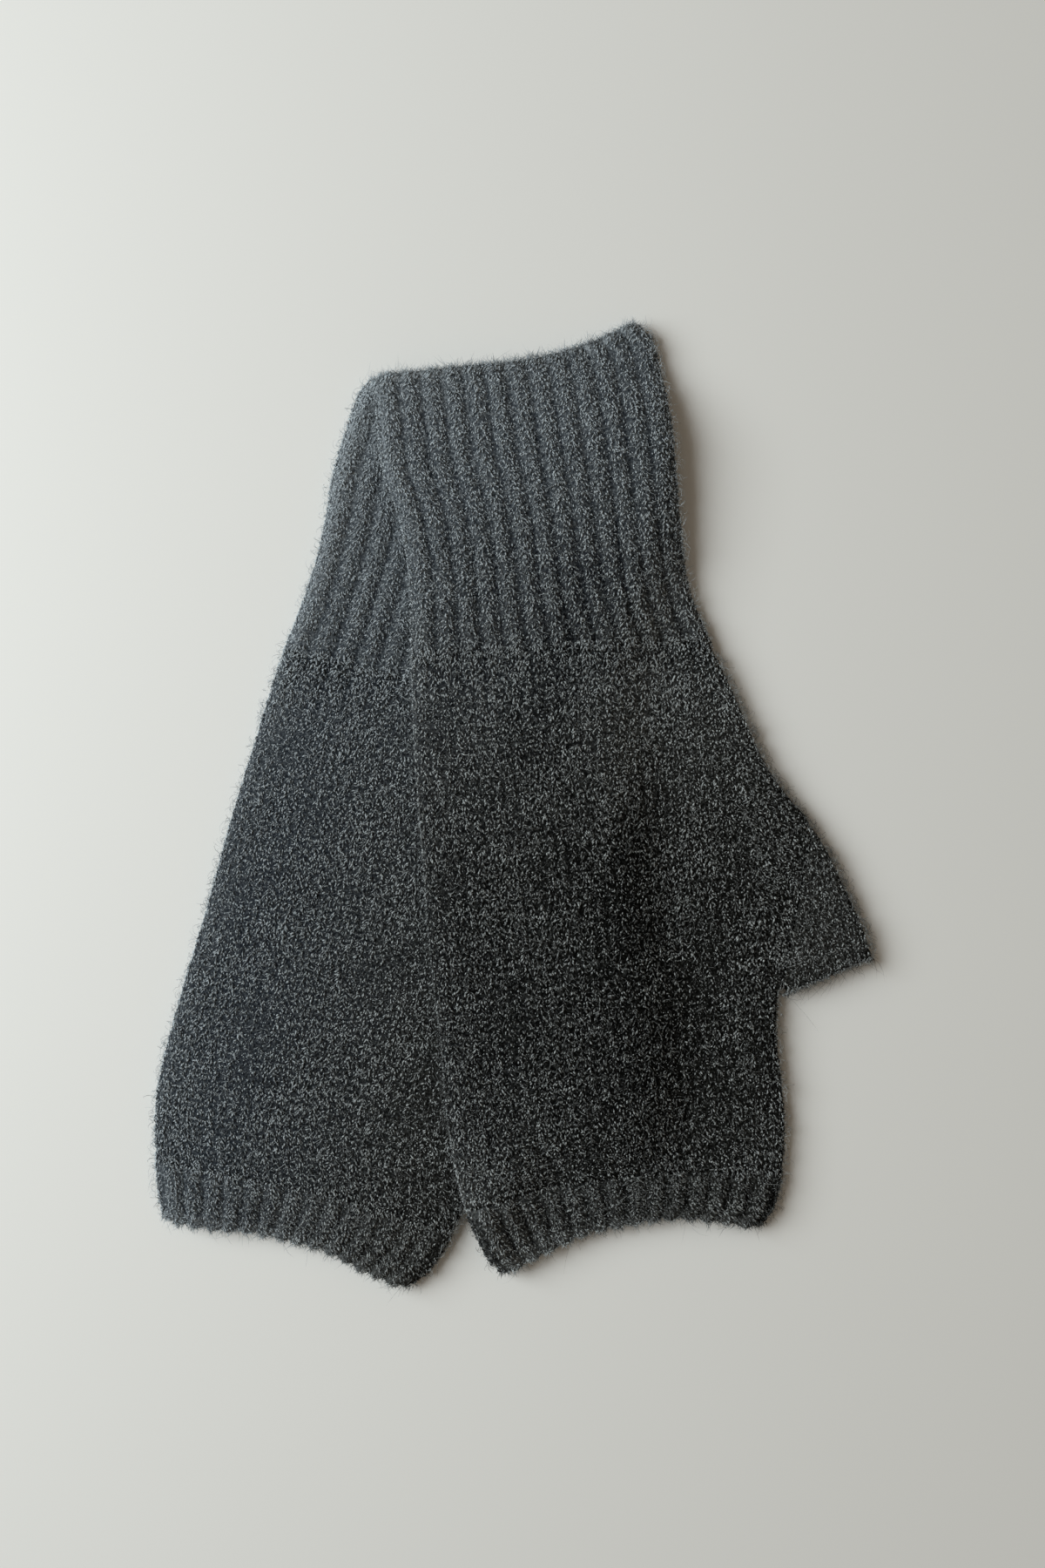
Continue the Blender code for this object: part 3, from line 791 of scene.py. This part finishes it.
def thumb_shell(mitten, material):
    """The shell of a thumb, a fan of sections about the crotch."""
    places = loop_places(STEPS["thumb"])
    outer, inner = [], []
    for at in np.linspace(0, len(THUMB) - 1 - THUMB_SHORT, THUMB_SECTIONS):
        row = [smooth(at, range(len(THUMB)), column) for column in np.array(THUMB).T]
        section = spot(*row[:2]), spot(*row[2:4]), row[4]
        outer.append(loop(mitten, section, places, FOLD - SINK))
        inner.append(loop(mitten, section, places, HOLLOW / 2))
    tones = np.full(np.shape(outer)[:2], THUMB_LIGHT + SHELL_SHADE["thumb"])
    return shell(mitten, "thumb", outer, inner, material, tones, [False] * THUMB_SECTIONS)


# ---- the stitches


TUFTS = 14  # visible bits of fibre in a stitch
TUFT_LONG = 1.4
TUFT_THICK = 0.22  # their radius
TUFT_SPREAD = 0.25  # how much they differ in length and in radius, as a share
TUFT_WANDER = 0.12  # how far they wander, sideways and up or down
TUFT_APART = 0.15  # and across the stitch, over its half width
TUCK = 0.38  # how deep their ends dip between the others
CROWN = 0.25  # how much deeper a stitch's sides lie than its middle
LEAN = 24.0  # degrees that the two legs of a stitch lean to each other
LEAN_NOISE = 24.0
ROW_JITTER = 0.6  # how far up or down the rows the bits begin, in rows
STITCH_NOISE = 0.35  # how much stitches differ in tone
TUFT_NOISE = 1.7  # and their fibres
RIB_NOISE = 1.35  # those of a cuff's rib
BAND_NOISE = 0.9  # and of a finger band's
THUMB_NOISE = 1.3
NOISE_BLEND = 30.0  # from the cuff's to the hand's, over this length of the hand
RIB_TUFTS = 25  # bits of fibre in a stitch of a rib
UNDER_STYLE = dict(count=4, thick=0.34, long=2.6)  # the sides that lie on the surface
ROW_DRIFT = 0.3  # how much the yarn's tone drifts along a row, beside the bits' own
DRIFT_SHAPE = (0.3, 0.8, 1.0, 0.8, 0.3)  # over so many stitches
LOWEST = 0.02  # of the yarn, over the surface
MEET = 0.5  # the hand's stitches and the thumb's go on this far past the line between them
COVERED = 4.5  # the yarn goes on this far under the other mitten
PAST_FOLD = 5.0  # how far out of the panel's side the plain stitches go on, round the fold
HAND_WALES = 104.0  # the stitches of a hand reach this far across
GUSSET_WALES = 34.0  # and those of a gusset this far inwards


def tufts(
    chart, tone_at, along, x, drift, rng, spread=WALE / 2, count=TUFTS, flip=1,
    thick=TUFT_THICK, long=TUFT_LONG, noise=TUFT_NOISE,
):
    """The yarn of each stitch, as bits of fibre on its two legs. along and x are its middle."""
    stitches = len(along)
    shape = (stitches, count)
    offset = (np.arange(count) + 0.5) / count * 2 - 1 + rng.normal(0, TUFT_APART, shape)
    turn = np.radians(np.sign(offset) * LEAN * flip + rng.normal(0, LEAN_NOISE, shape))
    half = long / 2 * rng.normal(1, TUFT_SPREAD, shape).clip(0.4, 1.7)
    at = along[:, None] + ROW * rng.uniform(-ROW_JITTER, ROW_JITTER, shape)
    over = x[:, None] + spread * offset
    bow = rng.normal(0, TUFT_WANDER, shape)
    u = np.array([-1.0, 0.0, 1.0])
    a = at[..., None] + u * (half * np.cos(turn))[..., None]
    b = over[..., None] + u * (half * np.sin(turn))[..., None]
    b[..., 1] += bow
    top = FOLD - thick - CROWN * offset**2 + rng.normal(0, TUFT_WANDER, shape)
    h = top[..., None] - TUCK * np.abs(u)
    radii = thick * np.ones(3) * rng.normal(1, TUFT_SPREAD, (*shape, 1)).clip(0.5, 1.7)
    tone = drift + rng.normal(0, STITCH_NOISE, stitches)
    noise = np.broadcast_to(noise, stitches)[:, None]
    tones = tone_at(at, over) + tone[:, None] + noise * rng.normal(0, 1, shape)
    flat = (stitches * count, 3)
    points, normals = chart(a.reshape(flat), b.reshape(flat), h.reshape(flat))
    return points, normals, radii.reshape(flat), tones.ravel()


def row_tones(rows, wales, rng):
    """The yarn's own tone, which drifts along each row."""
    margin = len(DRIFT_SHAPE) - 1
    kernel = np.array(DRIFT_SHAPE)
    kernel *= ROW_DRIFT / np.linalg.norm(kernel)
    noise = rng.normal(0, 1, (rows, wales + 2 * margin))
    drift = np.array([np.convolve(row, kernel, "same") for row in noise])
    return drift[:, margin : margin + wales]


def stitch_grid(rows, wales, rng):
    """The middles of the stitches in rows and wales, and their drift in tone."""
    drift = row_tones(len(rows), len(wales), rng)
    along, x = np.meshgrid(rows, wales, indexing="ij")
    return along.ravel(), x.ravel(), drift.ravel()


def shown(mitten, points, under=False):
    """Which places of a mitten aren't covered by the other one, or by the surface."""
    if (mitten.name == "upper") != under:
        return np.ones(len(points), bool)
    other = "lower" if under else "upper"
    return depth(points[:, :2], OUTLINES[other]) < COVERED


def hand_stitches(mitten, rng, under):
    """The plain stitches of a hand, up to the gusset."""
    first, last = mitten.seams
    chart = partial(mitten.main, under=under)
    rows, wales = np.arange(first, last + ROW / 2, ROW), np.arange(-PAST_FOLD, HAND_WALES, WALE)
    along, x, drift = stitch_grid(rows, wales, rng)
    along, x = waver(along, x)
    flat = mitten.flat_width(along)
    left, right, _ = mitten.ends(along)
    middle = left + unit(right - left) * (FOLD + x)[:, None]
    in_hand = mitten.past_line(middle) < MEET
    keep = np.where(middle[:, 1] > mitten.crotch[1], in_hand, x < flat + PAST_FOLD + 0.2)
    if under:
        keep &= (x > -1) & (x < flat + 1)
    keep &= shown(mitten, chart(along, x, np.full(len(x), FOLD))[0], under)
    noise = np.interp(along[keep], (first, first + NOISE_BLEND), (RIB_NOISE, TUFT_NOISE))
    style = UNDER_STYLE if under else {}
    tone_at = partial(shade_at, mitten)
    return tufts(chart, tone_at, along[keep], x[keep], drift[keep], rng, noise=noise, **style)


def thumb_stitches(mitten, rng, under):
    """The plain stitches of a gusset and its thumb."""
    chart = partial(mitten.gusset, under=under)
    rows = np.arange(-OVER_RIM, mitten.edge_at[-1] - 4, ROW)
    back, x, drift = stitch_grid(rows, np.arange(-PAST_FOLD, GUSSET_WALES, WALE), rng)
    plan, _ = chart(back, x, np.full(len(x), FOLD))
    own = mitten.own(plan)
    keep = (mitten.past_line(own) > -MEET) & (own[:, 1] > mitten.crotch[1] - 2)
    if under:
        keep &= x > -1
    keep &= shown(mitten, plan, under)
    style = dict(noise=THUMB_NOISE, flip=-1, **(UNDER_STYLE if under else {}))
    tone_at = partial(thumb_shade, mitten)
    return tufts(chart, tone_at, back[keep], x[keep], drift[keep], rng, **style)


def ribbing(mitten, rng, under, start, end, count, margin, noise):
    """The stitches of a cuff or a finger band, in a column on each rib and round each fold."""
    rows = np.arange(start + ROW / 2, end, ROW)
    share = np.linspace(margin, 1 - margin, count)
    drift = row_tones(len(rows), count + 2, rng).ravel()
    along, across = np.meshgrid(rows, share, indexing="ij")
    flat = mitten.flat_width(along)
    side = np.full((len(rows), 1), np.pi * FOLD / 2)
    along = np.hstack([along, along[:, :1], along[:, :1]]).ravel()
    x = np.hstack([across * flat, -side, flat[:, :1] + side]).ravel()
    wide = mitten.flat_width(along)
    pitch = wide.mean() * (share[1] - share[0])
    chart = partial(mitten.main, under=under)
    keep = shown(mitten, chart(along, x, np.full(len(x), FOLD))[0], under)
    style = dict(count=RIB_TUFTS, noise=noise)
    if under:
        keep &= (x > 0) & (x < wide)
        style = UNDER_STYLE
    tone_at = partial(shade_at, mitten)
    along, x, drift = along[keep], x[keep], drift[keep]
    return tufts(chart, tone_at, along, x, drift, rng, spread=pitch / 2, **style)


def yarn_object(mitten, piece, parts, material):
    """One object of several groups of strands."""
    points, faces, tones = [], [], []
    offset = 0
    for paths, ups, radii, tone in parts:
        if len(paths):
            some, triangles, size = strands(paths, ups, radii)
            some[:, 2] = np.maximum(some[:, 2], LOWEST)
            points.append(some)
            faces.append(triangles + offset)
            tones.append(np.repeat(tone, size))
            offset += len(some)
    points, faces, tones = (np.concatenate(each) for each in (points, faces, tones))
    return mesh_object(mitten, piece, points, [faces], material, tones)


# ---- the fuzz


ROOT = FOLD - 0.15  # where the loose fibres come out of the yarn
FIBRE_LOWEST = 0.15  # over the surface
FIBRE_STEPS = 4
FIBRE_SIZES = (0.7, 1.0, 1.4)  # fibres are short, middling or long
FIBRE_CURL = 0.6
FIBRE_LEAN = 1.2  # how much those of a free edge lean out over it
FIBRE_NOISE = 0.9  # how much they differ in tone
FOLD_REACH = 4.5  # how far round a side fold they go
FOLD_FROM = 1.5  # and from where, for those of the fold itself
WRIST_REACH = (-1.0, 1.6)  # how far past an edge those of the edge are rooted
THUMB_REACH = (-1.2, 0.3)  # and how far back from a thumb's
GUSSET_WIDE = 24.0  # how far inwards those of a gusset go
FAR_SHARE = 0.66  # of the folds' fibres, on the right fold

# How long and how thick the fibres are, how much they stand up, and how much lighter they are
NAP = dict(long=(1.2, 2.6), thin=0.075, rise=0.16, bright=0.2)
HALO = dict(long=(0.8, 2.1), thin=0.045, rise=0.4, bright=0.0)
FOLD_HALO = dict(long=(0.8, 2.2), thin=0.055, rise=1.5, bright=0.2)
EDGE = dict(long=(0.5, 1.2), thin=0.13, rise=0.1, bright=0.0)
STRAY = dict(long=(3.0, 5.2), thin=0.035, rise=0.15, bright=0.0)


def fuzz(mitten, rng, count, where, **style):
    """Loose fibres on the cuff, the hand and the band: on the nap, the folds or the free edges."""
    along = rng.uniform(mitten.first, mitten.last, count)
    outward = np.zeros(2)
    if where == "wrist":
        along = mitten.first - rng.uniform(*WRIST_REACH, count)
        outward = in_world((0, 1.0), mitten.turn)
    if where == "fingers":
        along = mitten.last + rng.uniform(*WRIST_REACH, count)
        outward = in_world((0, -1.0), mitten.turn)
    flat = mitten.flat_width(along)
    x = rng.uniform(-FOLD_REACH, flat + FOLD_REACH)
    tone = 0.0
    if where == "folds":
        turn = rng.uniform(FOLD_FROM, FOLD_REACH, count)
        far = rng.random(count) < FAR_SHARE
        # painted light on the fibres of the right fold
        x, tone = np.where(far, flat + turn, -turn), np.where(far, FAR_LIGHT, 0.0)
    root, up = mitten.main(along, x, np.full(count, ROOT))
    keep = shown(mitten, root)
    if where in ("nap", "folds"):
        keep &= ~((along > mitten.seams[0]) & (along < mitten.slot[1]) & (x > flat - 8))
    return fibres(root, up, keep, rng, outward, shade_at(mitten, along, x) + tone, **style)


def thumb_fuzz(mitten, rng, count, where, **style):
    """The same on the gusset and the thumb."""
    back = rng.uniform(-0.5, mitten.edge_at[-1] - 3, count)
    x = rng.uniform(-FOLD_REACH, GUSSET_WIDE, count)
    outward = np.zeros(2)
    if where == "folds":
        x = -rng.uniform(FOLD_FROM, FOLD_REACH, count)
    if where == "free":
        back = rng.uniform(*THUMB_REACH, count)
        outward = in_world(unit(mitten.edge[0] - mitten.edge[1]), mitten.turn)
    root, up = mitten.gusset(back, x, np.full(count, ROOT))
    own = mitten.own(root)
    keep = (mitten.past_line(own) > 0) & shown(mitten, root) & (own[:, 1] > mitten.crotch[1] - 3)
    tone = thumb_shade(mitten, back) + (THUMB_FAR_LIGHT if where == "folds" else 0)
    return fibres(root, up, keep, rng, outward, tone, **style)


def fibres(root, up, keep, rng, outward, tone, long, thin, rise, bright):
    """Curled fibres from the roots that are kept, as strands."""
    root, up, tone = root[keep], up[keep], tone[keep]
    count = len(root)
    u = np.linspace(0, 1, FIBRE_STEPS)[None, :, None]
    size = rng.uniform(*long, (count, 1, 1)) * rng.choice(FIBRE_SIZES, (count, 1, 1))
    flat = unit(np.cross(up, rng.normal(0, 1, (count, 3))))
    curl = unit(np.cross(up, flat)) * rng.normal(0, FIBRE_CURL, (count, 1))
    lifted = up * np.abs(rng.normal(rise, 0.3, (count, 1)))
    flat = unit(flat + FIBRE_LEAN * np.array([*outward, 0.0]))
    path = root[:, None] + size * (
        u * flat[:, None] + u * u * curl[:, None] + (u * (1.35 - u)) * lifted[:, None]
    )
    path[..., 2] = np.maximum(path[..., 2], FIBRE_LOWEST)
    ups = np.repeat(up[:, None], FIBRE_STEPS, axis=1) + rng.normal(0, 0.2, path.shape)
    radii = thin * (1.1 - 0.75 * u[..., 0]) * rng.normal(1, 0.2, (count, 1)).clip(0.6, 1.5)
    return path, ups, radii, rng.normal(bright, FIBRE_NOISE, count) + tone


# ---- the pair


SEED = 100
# The loose fibres of the nap and of the halo: on what, how many, where, and of which kind
NAP_PARTS = (
    (fuzz, 6300, "nap", NAP),
    (thumb_fuzz, 900, "nap", NAP),
    (fuzz, 450, "wrist", EDGE),
    (fuzz, 500, "fingers", EDGE),
    (thumb_fuzz, 400, "free", EDGE),
)
HALO_PARTS = (
    (fuzz, 1300, "nap", HALO),
    (fuzz, 2000, "folds", FOLD_HALO),
    (fuzz, 900, "wrist", HALO),
    (fuzz, 220, "fingers", HALO),
    (thumb_fuzz, 1100, "folds", FOLD_HALO),
    (thumb_fuzz, 120, "free", HALO),
    (fuzz, 10, "wrist", STRAY),
    (fuzz, 16, "fingers", STRAY),
    (thumb_fuzz, 60, "free", STRAY),
)
ON_FLOOR = dict.fromkeys(PIECES, ["floor"])


def tube_cut(mitten, piece):
    """A tube's flat cut: its widest round and its length, and its area."""
    start, end = mitten.reach[piece]
    round_it = 2 * mitten.flat_width(np.linspace(start, end, 40)) + np.pi * (HOLLOW + WALL)
    area = round_it.mean() * (end - start)
    return (float(round_it.max()) * MM, float(end - start) * MM), float(area) * MM * MM


def thumb_cut():
    """A thumb's flat cut: all round its opening and its longest side, and its area."""
    round_it = 2 * np.linalg.norm(THUMB_OUTER[0] - THUMB_INNER[0])
    long = np.linalg.norm(np.diff(THUMB_OUTER, axis=0), axis=1).sum()
    x, y = np.vstack([THUMB_INNER, THUMB_OUTER[::-1]]).T
    plan = abs(np.sum(x * np.roll(y, -1) - y * np.roll(x, -1))) / 2
    return (float(round_it) * MM, float(long) * MM), float(2 * plan) * MM * MM


def knit_yarn(mitten, rng, yarn_wool, fuzz_wool):
    """The stitches and the fuzz of each of a mitten's pieces."""
    hand, thumb = [], []
    for under in (False, True):
        hand.append(hand_stitches(mitten, rng, under))
        thumb.append(thumb_stitches(mitten, rng, under))
    far = OVER_RIM + ROW / 2
    ribs = (
        (mitten.first - far, mitten.seams[0], CUFF_RIBS, CUFF_MARGIN, RIB_NOISE),
        (mitten.seams[1], mitten.last + far, BAND_RIBS, BAND_MARGIN, BAND_NOISE),
    )
    cuff, band = ([ribbing(mitten, rng, under, *rib) for under in (False, True)] for rib in ribs)
    nap, halo = (
        [kind(mitten, rng, count, where, **style) for kind, count, where, style in parts]
        for parts in (NAP_PARTS, HALO_PARTS)
    )
    yarns = {
        "wrist_rib": {"wrist_rib_stitches": cuff},
        "hand": {
            "hand_stitches": hand[:1], "hand_underside_stitches": hand[1:], "nap": nap, "fuzz": halo
        },
        "thumb": {"thumb_stitches": thumb},
        "finger_rib": {"finger_rib_stitches": band},
    }
    for piece, groups in yarns.items():
        yarns[piece] = [
            yarn_object(mitten, name, parts, fuzz_wool if name == "fuzz" else yarn_wool)
            for name, parts in groups.items()
        ]
    return yarns


def declare(mitten, piece, made, yarns):
    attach(made, "root")
    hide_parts(f"{mitten.name}_{piece}")
    for yarn in yarns:
        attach(yarn, "root")
    flat, area = thumb_cut() if piece == "thumb" else tube_cut(mitten, piece)


def build():
    """Both mittens, the lower one first."""
    shell_wool = wool("shell_wool", 1500.0, 1.2)
    yarn_wool = wool("yarn_wool", 2800.0, 2.2, sheen=0.06)
    fuzz_wool = wool("fuzz_wool", 700.0, 0.4, bright=-0.8)
    for seed, mitten in enumerate((Mitten("lower", no_lift), Mitten("upper", lift)), start=SEED):
        rng = np.random.default_rng(seed)
        shells = {
            piece: thumb_shell(mitten, shell_wool) if piece == "thumb"
            else tube_shell(mitten, piece, shell_wool) for piece in PIECES
        }
        yarns = knit_yarn(mitten, rng, yarn_wool, fuzz_wool)
        for piece in PIECES:
            declare(mitten, piece, shells[piece], yarns[piece])


def floor():
    """A plain pale floor."""
    bpy.ops.mesh.primitive_plane_add(size=FLOOR_SIZE, location=(0, 0, -FLOOR_UNDER))
    made = bpy.context.object
    made.name = "floor"
    material = bpy.data.materials.new("pale_floor")
    material.use_nodes = True
    shader = material.node_tree.nodes["Principled BSDF"]
    shader.inputs["Base Color"].default_value = FLOOR_COLOUR
    shader.inputs["Roughness"].default_value = 0.6
    made.data.materials.append(material)


def lights_and_camera():
    """The lamp, the room's own light, and the camera over the middle."""
    scene = bpy.context.scene
    scene.view_settings.view_transform = "Standard"
    scene.world = bpy.data.worlds.new("soft_room")
    scene.world.use_nodes = True
    background = scene.world.node_tree.nodes["Background"]
    background.inputs["Color"].default_value = ROOM_COLOUR
    background.inputs["Strength"].default_value = ROOM_STRENGTH
    light = bpy.data.lights.new("lamp", "AREA")
    light.shape = "RECTANGLE"
    light.size, light.size_y = LAMP_SIZE
    light.energy = LAMP_POWER
    light.color = LAMP_COLOUR
    lamp = bpy.data.objects.new("lamp", light)
    lamp.location = LAMP_AT
    lamp.rotation_euler = (-lamp.location.normalized()).to_track_quat("-Z", "Y").to_euler()
    scene.collection.objects.link(lamp)
    lens = bpy.data.cameras.new("camera")
    lens.sensor_width = SENSOR
    lens.lens = SENSOR * CAMERA_AT[2] / VIEW_TALL
    camera = bpy.data.objects.new("camera", lens)
    camera.location = [v * MM for v in CAMERA_AT]
    scene.collection.objects.link(camera)
    scene.camera = camera


lights_and_camera()
floor()
build()
